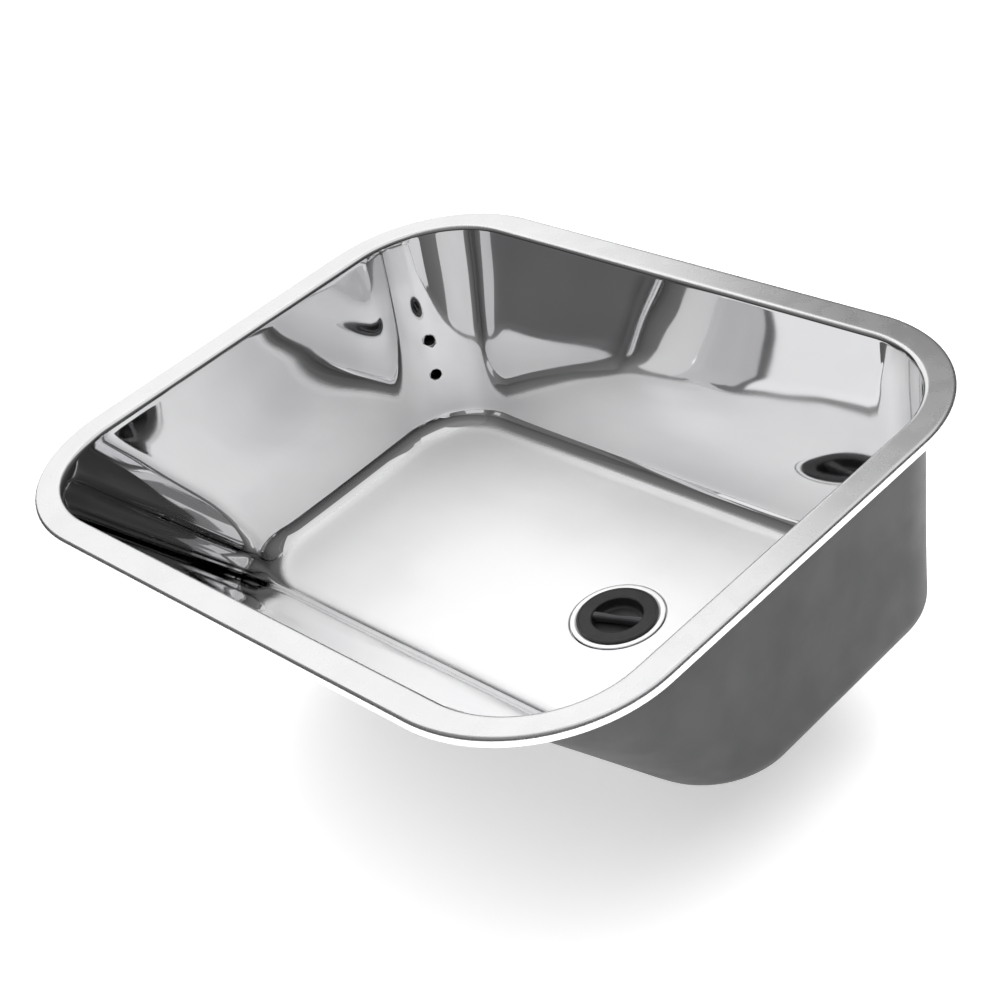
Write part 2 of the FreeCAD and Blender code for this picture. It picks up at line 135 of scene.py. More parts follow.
def turned(name, profile, made, place, axis=(0, 0, 1), steps=96, shape=None):
    """Closed solid turned about an axis from (radius, height, rounding) corners.

    shape(radius, height, turn), if given, returns the radius there, as for threads and flutes."""
    outline = rounded_profile(profile)
    frame_of_axis = Matrix.Translation(place) @ Vector(axis).to_track_quat("Z", "Y").to_matrix().to_4x4()
    verts, faces = [], []
    for r, z in outline:
        for i in range(steps):
            a = 2 * math.pi * i / steps
            reach = shape(r, z, a) if shape else r
            verts.append(frame_of_axis @ Vector((reach * math.cos(a), reach * math.sin(a), z)))
    rows = len(outline)
    for k in range(rows):
        for i in range(steps):
            j, m = (i + 1) % steps, (k + 1) % rows
            faces.append((k * steps + i, m * steps + i, m * steps + j, k * steps + j))
    piece = mesh_piece(name, verts, faces, made)
    weld(piece)
    piece.data.set_sharp_from_angle(angle=SHARP)
    return piece


def screw_thread(crest, depth, pitch, low, high):
    """Shape for turned(): a helical thread on the surface at the crest's radius."""
    def radius(r, z, turn):
        if r < crest - depth:
            return r
        wave = abs(((z / pitch - turn / (2 * math.pi)) % 1) * 2 - 1)
        runout = min(1, max(0, (z - low) / pitch), max(0, (high - z) / pitch))
        return r - depth * (1 - runout * float(smoothstep(wave * 1.5 - 0.25)))
    return radius


def threaded_tube(name, made, place, axis, sizes, low, high, chamfer):
    """Tube with an outside thread. sizes are its crest, depth, pitch and bore."""
    crest, depth, pitch, bore = sizes
    rows = max(2, round((high - low - 2 * chamfer) / pitch * 8))
    outside = [(crest, low + chamfer + (high - low - 2 * chamfer) * i / rows, 0) for i in range(rows + 1)]
    profile = [(bore, low, 0), (crest - depth - chamfer / 2, low, 0)] + outside
    profile += [(crest - depth - chamfer / 2, high, 0), (bore, high, 0)]
    shape = screw_thread(crest, depth, pitch, low + chamfer, high - chamfer)
    return turned(name, profile, made, place, axis, 72, shape)


def cut_away(piece, cutter):
    """Cut one closed mesh out of another, and remove the cutter."""
    cut = piece.modifiers.new("cut", "BOOLEAN")
    cut.operation = "DIFFERENCE"
    cut.solver = "EXACT"
    cut.object = cutter
    bake_modifiers(piece)
    bpy.data.objects.remove(cutter)


def pin(place, axis, radius, length, steps=40):
    """Plain cylinder for cutting, centred on a place."""
    mesh = bpy.data.meshes.new("cutter")
    work = bmesh.new()
    bmesh.ops.create_cone(work, cap_ends=True, segments=steps, radius1=radius, radius2=radius, depth=length)
    turn = Vector(axis).to_track_quat("Z", "Y").to_matrix().to_4x4()
    work.transform(Matrix.Translation(place) @ turn)
    work.to_mesh(mesh)
    work.free()
    cutter = bpy.data.objects.new("cutter", mesh)
    bpy.context.scene.collection.objects.link(cutter)
    return cutter


def part_of(body, slot, piece, *nodes):
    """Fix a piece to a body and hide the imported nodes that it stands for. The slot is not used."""
    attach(piece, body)
    if nodes:
        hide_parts(*nodes)


def weld(piece):
    """Join points that lie on each other, such as a solid's points on its axis."""
    work = bmesh.new()
    work.from_mesh(piece.data)
    bmesh.ops.remove_doubles(work, verts=work.verts, dist=1e-7)
    bmesh.ops.dissolve_degenerate(work, edges=work.edges, dist=1e-8)
    bmesh.ops.recalc_face_normals(work, faces=work.faces)
    work.to_mesh(piece.data)
    work.free()
    piece.data.shade_smooth()


def rounded_profile(profile, steps=5):
    """Closed outline with each (x, y, rounding) corner replaced by a short arc."""
    points = []
    for i, (x, y, rounding) in enumerate(profile):
        here = Vector((x, y))
        if not rounding:
            points.append((x, y))
            continue
        before = Vector(profile[i - 1][:2]) - here
        after = Vector(profile[(i + 1) % len(profile)][:2]) - here
        turn = before.angle(after)
        cut = min(rounding / math.tan(turn / 2), before.length * 0.49, after.length * 0.49)
        start, end = here + before.normalized() * cut, here + after.normalized() * cut
        for j in range(steps + 1):
            t = j / steps
            points.append(tuple(start * (1 - t) ** 2 + here * 2 * t * (1 - t) + end * t * t))
    return points


# ---------------------------------------------------------------- materials

def new_material(name, color, metallic, roughness):
    """Principled material, its node tree and its shader."""
    made = bpy.data.materials.new(name)
    made.use_nodes = True
    tree = made.node_tree
    shader = tree.nodes["Principled BSDF"]
    shader.inputs["Base Color"].default_value = (*color, 1)
    shader.inputs["Metallic"].default_value = metallic
    shader.inputs["Roughness"].default_value = roughness
    return made, tree, shader


def grain(tree, scale, stretch=(1, 1, 1), detail=3.0, kind="noise"):
    """Noise or cell pattern in the piece's own coordinates, with so many features a metre."""
    place = tree.nodes.new("ShaderNodeTexCoord")
    mapping = tree.nodes.new("ShaderNodeMapping")
    mapping.inputs["Scale"].default_value = stretch
    tree.links.new(place.outputs["Object"], mapping.inputs["Vector"])
    if kind == "cells":
        texture = tree.nodes.new("ShaderNodeTexVoronoi")
        result = texture.outputs["Distance"]
    else:
        texture = tree.nodes.new("ShaderNodeTexNoise")
        texture.inputs["Detail"].default_value = detail
        result = texture.outputs["Fac"]
    texture.inputs["Scale"].default_value = scale
    tree.links.new(mapping.outputs["Vector"], texture.inputs["Vector"])
    return result


def spread(tree, value, low, high, start=0.3, end=0.7):
    """Map a pattern's start to end onto low to high, smoothly."""
    node = tree.nodes.new("ShaderNodeMapRange")
    node.interpolation_type = "SMOOTHSTEP"
    tree.links.new(value, node.inputs["Value"])
    for socket, number in (("From Min", start), ("From Max", end), ("To Min", low), ("To Max", high)):
        node.inputs[socket].default_value = number
    return node.outputs["Result"]


def arithmetic(tree, operation, a, b):
    """Math node on two sockets, or a socket and a number."""
    node = tree.nodes.new("ShaderNodeMath")
    node.operation = operation
    for socket, value in zip(node.inputs, (a, b)):
        if isinstance(value, (int, float)):
            socket.default_value = value
        else:
            tree.links.new(value, socket)
    return node.outputs["Value"]


def tint(tree, shader, value, dark, light):
    """Base colour between two colours by a 0 to 1 value."""
    node = tree.nodes.new("ShaderNodeMix")
    node.data_type = "RGBA"
    tree.links.new(value, node.inputs["Factor"])
    node.inputs["A"].default_value = (*dark, 1)
    node.inputs["B"].default_value = (*light, 1)
    tree.links.new(node.outputs["Result"], shader.inputs["Base Color"])


def bump(tree, shader, value, height):
    """Add a pattern's relief, so many metres high, to any relief that the shader has."""
    node = tree.nodes.new("ShaderNodeBump")
    node.inputs["Distance"].default_value = height
    earlier = shader.inputs["Normal"].links
    if earlier:
        tree.links.new(earlier[0].from_socket, node.inputs["Normal"])
    tree.links.new(value, node.inputs["Height"])
    tree.links.new(node.outputs["Normal"], shader.inputs["Normal"])


def height_mask(tree, low, high):
    """0 below one height and 1 above another, in the piece's own coordinates."""
    place = tree.nodes.new("ShaderNodeTexCoord")
    split = tree.nodes.new("ShaderNodeSeparateXYZ")
    tree.links.new(place.outputs["Object"], split.inputs["Vector"])
    return spread(tree, split.outputs["Z"], 0.0, 1.0, low, high)


def mix(tree, factor, a, b):
    """Number between two sockets or numbers by a 0 to 1 value."""
    node = tree.nodes.new("ShaderNodeMix")
    tree.links.new(factor, node.inputs["Factor"])
    for socket, value in ((node.inputs["A"], a), (node.inputs["B"], b)):
        if isinstance(value, (int, float)):
            socket.default_value = value
        else:
            tree.links.new(value, socket)
    return node.outputs["Result"]


def bowl_steel():
    """Mirror-polished walls that turn into a pale satin floor."""
    made, tree, shader = new_material("bowl_steel", (0.82, 0.82, 0.83), 1, 0.04)
    wall = height_mask(tree, FLOOR_Z + 0.6 * MM, FLOOR_Z + 3.5 * MM)
    mirror = spread(tree, grain(tree, 14), 0.02, 0.05)
    satin = spread(tree, grain(tree, 30, (1, 8, 8), 5), 0.44, 0.52)
    tree.links.new(mix(tree, wall, satin, mirror), shader.inputs["Roughness"])
    tree.links.new(mix(tree, wall, 0.5, 1.0), shader.inputs["Metallic"])
    tint(tree, shader, spread(tree, grain(tree, 9), 0, 1), (0.80, 0.80, 0.81), (0.85, 0.85, 0.855))
    brushed = arithmetic(tree, "MULTIPLY", grain(tree, 900, (0.04, 1, 1), 2),
                         arithmetic(tree, "SUBTRACT", 1.0, wall))
    bump(tree, shader, brushed, 0.01 * MM)
    return made


def rim_steel():
    """Satin flange and lip, with fine short brush marks."""
    made, tree, shader = new_material("rim_steel", (0.86, 0.86, 0.87), 1, 0.28)
    tree.links.new(spread(tree, grain(tree, 60, (1, 1, 1), 4), 0.25, 0.29), shader.inputs["Roughness"])
    tint(tree, shader, spread(tree, grain(tree, 25), 0, 1), (0.86, 0.86, 0.87), (0.89, 0.89, 0.895))
    bump(tree, shader, grain(tree, 1400, (1, 1, 1), 2), 0.002 * MM)
    return made


def outer_steel():
    """Dull outside of the pressing: mill finish with faint drawing streaks, its colour darkened as painted
    shade.
    """
    # The near-black steel colour is painted shade: it stands in for the shadow that the outside of the bowl
    # lies in.
    made, tree, shader = new_material("outer_steel", (0.058, 0.058, 0.059), 0.5, 0.5)
    blotches = spread(tree, grain(tree, 16, (1, 1, 0.5), 6), 0, 1, 0.2, 0.8)
    tint(tree, shader, blotches, (0.050, 0.050, 0.051), (0.066, 0.066, 0.067))
    tree.links.new(spread(tree, grain(tree, 35, (1, 1, 1), 5), 0.48, 0.56), shader.inputs["Roughness"])
    bump(tree, shader, grain(tree, 1300, (1, 1, 1), 3), 0.02 * MM)
    bump(tree, shader, grain(tree, 240, (1, 1, 0.08), 3), 0.003 * MM)
    return made


def screw_steel():
    """Plain steel of the waste screw, with uneven gloss."""
    made, tree, shader = new_material("screw_steel", (0.8, 0.8, 0.81), 1, 0.08)
    tree.links.new(spread(tree, grain(tree, 160), 0.2, 0.32), shader.inputs["Roughness"])
    tint(tree, shader, spread(tree, grain(tree, 70), 0, 1), (0.72, 0.72, 0.73), (0.82, 0.82, 0.83))
    bump(tree, shader, grain(tree, 2500, (1, 1, 1), 1), 0.001 * MM)
    return made


def dull_steel():
    """Pressed and soldered box: grey, blotched by heat."""
    made, tree, shader = new_material("dull_steel", (0.45, 0.45, 0.46), 0.9, 0.42)
    blotches = spread(tree, grain(tree, 45, (1, 1, 1), 6), 0, 1)
    tint(tree, shader, blotches, (0.30, 0.30, 0.31), (0.50, 0.49, 0.47))
    tree.links.new(spread(tree, grain(tree, 120, (1, 1, 0.2), 4), 0.34, 0.52), shader.inputs["Roughness"])
    bump(tree, shader, grain(tree, 900, (1, 1, 0.3), 2), 0.015 * MM)
    return made


def moulded_plastic(name, dark, light, low, high, relief):
    """Injection-moulded plastic: fine spark texture, slow colour drift, uneven gloss."""
    made, tree, shader = new_material(name, light, 0, low)
    tint(tree, shader, spread(tree, grain(tree, 60, (1, 1, 1), 5), 0, 1), dark, light)
    tree.links.new(spread(tree, grain(tree, 240, (1, 1, 1), 4), low, high), shader.inputs["Roughness"])
    bump(tree, shader, grain(tree, 3500, (1, 1, 1), 2), relief)
    return made


def rubber():
    """Moulded rubber with a dusty bloom."""
    dark, light = (0.018, 0.018, 0.019), (0.04, 0.04, 0.041)
    made, tree, shader = new_material("seal_rubber", light, 0, 0.7)
    tint(tree, shader, spread(tree, grain(tree, 90, (1, 1, 1), 6), 0, 1), dark, light)
    tree.links.new(spread(tree, grain(tree, 300), 0.55, 0.8), shader.inputs["Roughness"])
    bump(tree, shader, grain(tree, 2600, (1, 1, 1), 3), 0.02 * MM)
    return made


def foam():
    """Closed-cell foam strip."""
    made, tree, shader = new_material("foam_strip", (0.1, 0.1, 0.105), 0, 0.9)
    cells = grain(tree, 1500, kind="cells")
    tint(tree, shader, spread(tree, cells, 0, 1, 0.1, 0.6), (0.05, 0.05, 0.053), (0.14, 0.14, 0.145))
    bump(tree, shader, cells, 0.15 * MM)
    return made


def brass():
    """Machined brass, slightly tarnished."""
    made, tree, shader = new_material("insert_brass", (0.78, 0.6, 0.3), 1, 0.3)
    tint(tree, shader, spread(tree, grain(tree, 400), 0, 1), (0.62, 0.45, 0.2), (0.8, 0.63, 0.34))
    tree.links.new(spread(tree, grain(tree, 500), 0.2, 0.4), shader.inputs["Roughness"])
    bump(tree, shader, grain(tree, 3000, (0.1, 0.1, 1), 2), 0.01 * MM)
    return made


# ---------------------------------------------------------------- basin shell

def round_outline(side, back, front, back_corner, front_corner, z):
    """Points round a rectangle with round corners, counter-clockwise from the +X end."""
    corners = (
        (side, back, back_corner), (-side, back, back_corner),
        (-side, -front, front_corner), (side, -front, front_corner),
    )
    centres = [(x - math.copysign(r, x), y - math.copysign(r, y), r) for x, y, r in corners]
    points = []
    for place, (cx, cy, r) in enumerate(centres):
        for i in range(CORNER_STEPS):
            a = math.pi / 2 * (place + i / CORNER_STEPS)
            points.append((cx + r * math.cos(a), cy + r * math.sin(a), z))
        a = math.pi / 2 * (place + 1)
        nx, ny, nr = centres[(place + 1) % 4]
        start = Vector((cx + r * math.cos(a), cy + r * math.sin(a)))
        end = Vector((nx + nr * math.cos(a), ny + nr * math.sin(a)))
        steps = LONG_STEPS if place % 2 == 0 else SHORT_STEPS
        for i in range(steps):
            x, y = start.lerp(end, i / steps)
            points.append((x, y, z))
    return np.array(points)


def wall_offset(depth, slope, blend):
    """How far a wall lies inside its sharp mouth line at a depth, bends included."""
    if depth < MOUTH_BEND * (1 - math.cos(slope)):
        a = math.acos(1 - depth / MOUTH_BEND)
        return MOUTH_BEND * (math.sin(a) - math.tan(slope / 2))
    foot = blend * math.tan(slope / 2)
    if depth > DEPTH - foot * math.sin(slope):
        a = math.acos(1 - (DEPTH - depth) / blend)
        return DEPTH / math.tan(slope) + foot - blend * math.sin(a)
    return depth / math.tan(slope)


def bowl_corner(depth):
    """Radius of the bowl's sharp-footed corner at a depth."""
    return MOUTH_CORNER - depth * (MOUTH_CORNER - FLOOR_CORNER) / DEPTH


def bowl_section(depth):
    """Outline of the bowl at a depth below the rim's top."""
    side = wall_offset(depth, SIDE_SLOPE, FLOOR_BLEND)
    back = wall_offset(depth, BACK_SLOPE, FLOOR_BLEND)
    front = wall_offset(depth, FRONT_SLOPE, FRONT_BLEND)
    side_extra, back_extra, front_extra = (
        offset - depth / math.tan(slope)
        for offset, slope in ((side, SIDE_SLOPE), (back, BACK_SLOPE), (front, FRONT_SLOPE))
    )
    corner = bowl_corner(depth)
    return round_outline(
        MOUTH_SIDE - side, MOUTH_BACK - back, MOUTH_FRONT - front,
        corner - (side_extra + back_extra) / 2, corner - (side_extra + front_extra) / 2,
        RIM_TOP - depth)


def rim_rings():
    """Rings up the lip, over its bend and across the flange to the mouth."""
    rings = []
    bend = [(LIP_BEND * (1 - math.cos(a)), RIM_TOP - LIP_BEND * (1 - math.sin(a)))
            for a in np.linspace(0, math.pi / 2, 9)]
    for inset, z in [(0, LIP_LOW), (0, LIP_LOW + 0.3 * MM), (0, (LIP_LOW + bend[0][1]) / 2)] + bend:
        corner = RIM_CORNER - inset
        rings.append(round_outline(RIM_X - inset, RIM_Y - inset, RIM_Y - inset, corner, corner, z))
    outer, inner = rings[-1], bowl_section(0)
    rings += [outer + (inner - outer) * t for t in (0.08, 0.35, 0.65, 0.92)]
    return rings


def wall_rings():
    """Rings over the mouth bend, down the walls and round to the floor."""
    bend = [MOUTH_BEND * (1 - math.cos(a)) for a in np.linspace(0, SIDE_SLOPE, 12)]
    blend_top = DEPTH - FLOOR_BLEND * (1 - math.cos(SIDE_SLOPE))
    walls = list(np.linspace(bend[-1], blend_top, 44)[1:-1])
    blend = [DEPTH - FLOOR_BLEND * (1 - math.cos(a)) for a in np.linspace(SIDE_SLOPE, 0, 30)]
    return [bowl_section(depth) for depth in bend + walls + blend]


def floor_rings(edge):
    """Rings from the foot of the walls to the round recess, and down it to the waste hole."""
    turn = np.arctan2(edge[:, 1] - WASTE.y, edge[:, 0] - WASTE.x)
    circle = np.stack([np.cos(turn), np.sin(turn)], axis=1)

    def ring(radius, drop):
        flat = np.array(WASTE.xy) + radius * circle
        return np.column_stack([flat, np.full(len(flat), FLOOR_Z - drop)])

    shoulder, foot = 0.6 * MM, 0.6 * MM
    top = ring(RECESS + shoulder, 0)
    rings = [edge + (top - edge) * t for t in np.linspace(0, 1, 16)[1:-1]]
    rings.append(top)
    outline = rounded_profile([
        (RECESS + shoulder, 0, 0), (RECESS, 0, shoulder),
        (RECESS - RECESS_TAPER, -RECESS_DEPTH, foot), (WASTE_HOLE, -RECESS_DEPTH, 0)], 6)
    rings += [ring(r, -z) for r, z in outline[1:]]
    return rings


def wall_shape(x, y, depth):
    """How far the left or the back wall stands into the bowl at a point."""
    back = y - MOUTH_BACK + depth / math.tan(BACK_SLOPE)
    walls = (
        (LEFT_SAG, y / (MOUTH_BACK - MOUTH_CORNER),
         smoothstep((-x - 0.7 * MOUTH_SIDE) / (0.15 * MOUTH_SIDE))),
        (BACK_SAG, x / (MOUTH_SIDE - MOUTH_CORNER / 2), smoothstep((back + 50 * MM) / (30 * MM))),
    )
    bow = math.sin(2 * math.pi * depth / DEPTH)
    return sum(sag * near * bow * math.cos(math.pi * along / 2) ** 2
               for sag, along, near in walls if abs(along) < 1)


def pressing_waves(points, normals, depth):
    """Walls with their bow and the shallow waves of pressing and polishing, fading to both ends."""
    from_mouth = smoothstep((depth - 6 * MM) / (34 * MM))
    to_floor = smoothstep((depth - 0.80 * DEPTH) / (0.2 * DEPTH))
    fade = from_mouth * (1 - to_floor)
    moved = points.copy()
    for i, (p, n) in enumerate(zip(points, normals)):
        broad = noise.noise(Vector(p) * 7.5 + Vector((3.1, 0.4, 1.7)))
        small = noise.noise(Vector(p) * 21 + Vector((0.3, 5.2, 2.6)))
        rise = fade[i] * (WAVE * broad + RIPPLE * small) + wall_shape(p[0], p[1], depth[i])
        moved[i] = p + n * rise
    return moved


def grid_normals(rings):
    """Unit normals of a grid of closed rings."""
    grid = np.array(rings)
    along = np.roll(grid, -1, axis=1) - np.roll(grid, 1, axis=1)
    down = np.gradient(grid, axis=0)
    normal = np.cross(along, down)
    return normal / np.maximum(np.linalg.norm(normal, axis=2, keepdims=True), 1e-12)


def basin_shell():
    """The pressed shell as one closed sheet, 1.2 mm thick."""
    rim, walls = rim_rings(), wall_rings()
    rings = rim + walls + floor_rings(walls[-1])
    normals = grid_normals(rings)
    for k in range(len(rim), len(rim) + len(walls)):
        depth = np.full(COLUMNS, RIM_TOP) - rings[k][:, 2]
        rings[k] = pressing_waves(rings[k], normals[k], depth)
    verts = np.concatenate(rings)
    faces = []
    for k in range(len(rings) - 1):
        for i in range(COLUMNS):
            j = (i + 1) % COLUMNS
            faces.append((k * COLUMNS + i, k * COLUMNS + j, (k + 1) * COLUMNS + j, (k + 1) * COLUMNS + i))
    piece = mesh_piece("pressed_shell", verts, faces, bowl_steel(), rim_steel(), outer_steel())
    satin_bend_rings = 5
    rim_faces = (len(rim) + satin_bend_rings) * COLUMNS
    for face in piece.data.polygons[:rim_faces]:
        face.material_index = 1
    solidify = piece.modifiers.new("sheet", "SOLIDIFY")
    solidify.thickness = SHEET
    solidify.offset = -1
    solidify.use_even_offset = True
    solidify.material_offset = 2
    solidify.material_offset_rim = 1
    bake_modifiers(piece)
    cut_overflow_holes(piece)
    part_of("basin", "shell_steel", piece, "basin_shell")


def overflow_axis(depth):
    """A point on an overflow hole's axis and the level direction out of the bowl."""
    corner = bowl_corner(depth)
    centre = Vector((-(MOUTH_SIDE - depth / math.tan(SIDE_SLOPE)) + corner,
                     MOUTH_BACK - depth / math.tan(BACK_SLOPE) - corner, RIM_TOP - depth))
    return centre, Vector((math.cos(OVERFLOW_TURN), math.sin(OVERFLOW_TURN), 0))


def cut_overflow_holes(piece):
    """Pierce the two overflow holes through the back left corner."""
    drill = 40 * MM
    for depth in OVERFLOW_DEPTHS:
        centre, out = overflow_axis(depth)
        cut_away(piece, pin(centre + out * MOUTH_CORNER, out, OVERFLOW_HOLE, drill))


# ---------------------------------------------------------------- waste and plug

def dress(node, made):
    """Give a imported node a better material."""
    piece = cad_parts[node]
    piece.data.materials.clear()
    piece.data.materials.append(made)


def waste_flange():
    """Satin ring with a conical seat, and a cup with a pierced floor."""
    skin, top, seat, cup = 1.0 * MM, FLANGE_TOP, SEAT_RADIUS, 23 * MM
    grid, hole = -12.5 * MM, 3.3 * MM
    low = top - (seat - cup)
    bevel = skin * math.tan(math.radians(22.5))
    outer = FLANGE_HIGH.x - WASTE.x
    piece = turned("strainer_waste", [
        (hole, grid, 0.2 * MM), (cup, grid, 0), (cup, low, 0.8 * MM), (seat, top, 0.6 * MM),
        (outer, top, 0.45 * MM), (outer, top - skin, 0), (seat + bevel, top - skin, 0),
        (cup + skin, low - bevel, 0.8 * MM), (cup + skin, grid - skin, 0.8 * MM),
        (hole, grid - skin, 0.2 * MM)], satin_ring(), WASTE, steps=128)
    for ring, count, radius in ((9.8 * MM, 6, 2.4 * MM), (17.4 * MM, 12, 2.5 * MM)):
        for i in range(count):
            a = 2 * math.pi * i / count
            place = WASTE + Vector((ring * math.cos(a), ring * math.sin(a), grid))
            cut_away(piece, pin(place, (0, 0, 1), radius, 4 * skin, 28))
    part_of("basin", "waste_steel", piece, "waste_flange")


def plug():
    """Plug: a broad flat ring with a raised brim, a deep finger well and a stem."""
    radius, top, stem, well = 28.5 * MM, 2.0 * MM, 22.3 * MM, 18 * MM
    low, shoulder, well_floor = -9 * MM, 1.0 * MM, -6.5 * MM
    face = top - 0.25 * MM
    skirt = FLANGE_TOP - SEAT_RADIUS + stem + 2.5 * MM
    piece = turned("plug_moulding", [
        (0, low, 0), (stem, low, 0.8 * MM), (stem, skirt, 0), (radius - 0.5 * MM, shoulder - 0.5 * MM, 0),
        (radius, shoulder - 0.2 * MM, 0), (radius, top, 0.5 * MM), (radius - 1.6 * MM, top, 0.2 * MM),
        (radius - 2.0 * MM, face, 0.2 * MM), (well + 0.9 * MM, face, 0.2 * MM),
        (well, top - 0.7 * MM, 0.5 * MM), (well, well_floor, 2.5 * MM), (0, well_floor, 0)],
        moulded_plastic("plug_plastic", (0.011, 0.011, 0.012), (0.015, 0.015, 0.016), 0.36, 0.46, 0.03 * MM),
        WASTE, steps=128)
    part_of("plug", "plug_plastic", piece, "plug_body")


def plug_bar():
    """Grip bar across the well: waisted for finger and thumb, with a hollow along its top."""
    half_length, half_width, waist, crown = 20.3 * MM, 3.0 * MM, 0.8, 2.4 * MM
    top, low, turn = 1.0 * MM, -4.6 * MM, math.radians(20)
    stations, around_steps = 28, 20
    verts, faces = [], []
    for i in range(stations + 1):
        x = half_length * (2 * i / stations - 1)
        wide = half_width * (waist + (1 - waist) * float(smoothstep(abs(x) / (17 * MM))))
        level = top - 0.7 * MM * (1 - float(smoothstep(abs(x) / (15 * MM))))
        section = [(wide * 0.92, low), (wide, low + 1.2 * MM)]
        for j in range(around_steps - 3):
            a = math.pi * j / (around_steps - 4)
            dip = 0.35 * MM * math.exp(-(math.cos(a) / 0.3) ** 2)
            section.append((wide * math.cos(a), level - crown + crown * math.sin(a) ** 0.8 - dip))
        section += [(-wide, low + 1.2 * MM), (-wide * 0.92, low)]
        for y, z in section:
            verts.append((WASTE.x + x * math.cos(turn) - y * math.sin(turn),
                          WASTE.y + x * math.sin(turn) + y * math.cos(turn), WASTE.z + z))
    ring = len(section)
    for i in range(stations):
        for j in range(ring):
            k = (j + 1) % ring
            faces.append((i * ring + j, (i + 1) * ring + j, (i + 1) * ring + k, i * ring + k))
    faces += [tuple(range(ring)), tuple(stations * ring + j for j in reversed(range(ring)))]
    piece = mesh_piece("plug_grip", verts, faces,
                       moulded_plastic("bar_plastic", (0.022, 0.022, 0.024), (0.03, 0.03, 0.032),
                                       0.14, 0.22, 0.004 * MM))
    weld(piece)
    piece.data.set_sharp_from_angle(angle=SHARP)
    part_of("plug", "bar_plastic", piece, "plug_grip_bar")


def spigot_foot():
    """Centre of the overflow spigot's lower end."""
    low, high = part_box("overflow_spigot")
    return Vector(((low.x + high.x) / 2, (low.y + high.y) / 2, low.z))


def port_direction():
    """Level direction from the waste to the overflow's spigot."""
    foot = spigot_foot()
    return (Vector((foot.x, foot.y, 0)) - Vector((*WASTE.xy, 0))).normalized()


def waste_body(white):
    """Waste body with its real outlet thread and port thread."""
    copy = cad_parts["waste_body"].data.copy()
    piece = bpy.data.objects.new("waste_moulding", copy)
    bpy.context.scene.collection.objects.link(piece)
    copy.materials.clear()
    copy.materials.append(white)
    thread, bore = 23.9 * MM, 20 * MM
    cut_away(piece, pin(WASTE + Vector((0, 0, OUTLET_COLLAR - 20 * MM)), (0, 0, 1), 30 * MM, 40 * MM, 96))
    piece.data.set_sharp_from_angle(angle=math.radians(35))
    part_of("basin", "body_plastic", piece, "waste_body")
    tail = threaded_tube("waste_outlet_thread", white, WASTE, (0, 0, 1), (thread, 1.2 * MM, 2.3 * MM, bore),
                         OUTLET_END, OUTLET_COLLAR + 0.5 * MM, 0.8 * MM)
    part_of("basin", "body_plastic", tail)
    port = threaded_tube("waste_port_thread", white, WASTE + Vector((0, 0, PORT_HEIGHT)), port_direction(),
                         (10.4 * MM, 0.6 * MM, 1.5 * MM, 9.0 * MM), 34 * MM, PORT_END - 0.5 * MM, 0.5 * MM)
    part_of("basin", "body_plastic", port)


def spigot(steel):
    """Spigot of the overflow box, threaded for the union nut."""
    low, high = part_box("overflow_spigot")
    piece = threaded_tube("overflow_spigot_thread", steel, spigot_foot(), (0, 0, 1),
                          (10 * MM, 0.6 * MM, 1.5 * MM, 8.05 * MM), 0, high.z - low.z, 0.5 * MM)
    part_of("basin", "box_steel", piece, "overflow_spigot")


def union_nut(name, node, white, place, axis):
    """Fluted hand nut with rounded edges. The stub that it screws on ends at the place."""
    radius, bore, lip, pipe, back, seat = (v * MM for v in (14.5, 10, 5.5, 8.3, 9, 3))

    def flutes(r, z, turn):
        if r < radius - 1.2 * MM:
            return r
        return r - 1.1 * MM * max(0.0, math.cos(12 * turn)) ** 3

    corners = [(bore, -back, 0.4 * MM), (radius, -back, 1.0 * MM)]
    corners += [(radius, -back + (lip + back) * i / 6, 0) for i in range(1, 6)]
    corners += [(radius, lip, 1.6 * MM), (pipe, lip, 0.4 * MM), (pipe, seat, 0), (bore, seat, 0)]
    piece = turned(name, corners, white, place, axis, 144, flutes)
    part_of("basin", "nut_plastic", piece, node)


def satin_ring():
    """Satin steel of the waste, paler than the polished walls."""
    made, tree, shader = new_material("waste_steel", (0.86, 0.86, 0.87), 0.45, 0.35)
    tree.links.new(spread(tree, grain(tree, 160), 0.28, 0.38), shader.inputs["Roughness"])
    tint(tree, shader, spread(tree, grain(tree, 90), 0, 1), (0.80, 0.80, 0.81), (0.88, 0.88, 0.885))
    bump(tree, shader, grain(tree, 2500, (1, 1, 1), 1), 0.001 * MM)
    return made


def hidden_fittings():
    """Pieces under the bowl."""
    black = rubber()
    white = moulded_plastic("white_plastic", (0.70, 0.70, 0.68), (0.80, 0.80, 0.785), 0.38, 0.52, 0.02 * MM)
    pipe = moulded_plastic("pipe_plastic", (0.60, 0.60, 0.59), (0.70, 0.70, 0.69), 0.28, 0.38, 0.008 * MM)
    box = dull_steel()
    dress("rim_seal", foam())
    for node in ("waste_upper_seal", "waste_lower_seal", "upper_union_seal", "lower_union_seal", "plug_seal"):
        dress(node, black)
    dress("overflow_box", box)
    dress("overflow_pipe", pipe)
    dress("waste_screw", screw_steel())
    dress("thread_insert", brass())
    waste_body(white)
    spigot(box)
    union_nut("upper_hand_nut", "upper_union_nut", white, spigot_foot(), (0, 0, -1))
    lower = WASTE + Vector((0, 0, PORT_HEIGHT)) + port_direction() * PORT_END
    union_nut("lower_hand_nut", "lower_union_nut", white, lower, port_direction())


basin_shell()
waste_flange()
plug()
plug_bar()
hidden_fittings()


# ---------------------------------------------------------------- studio

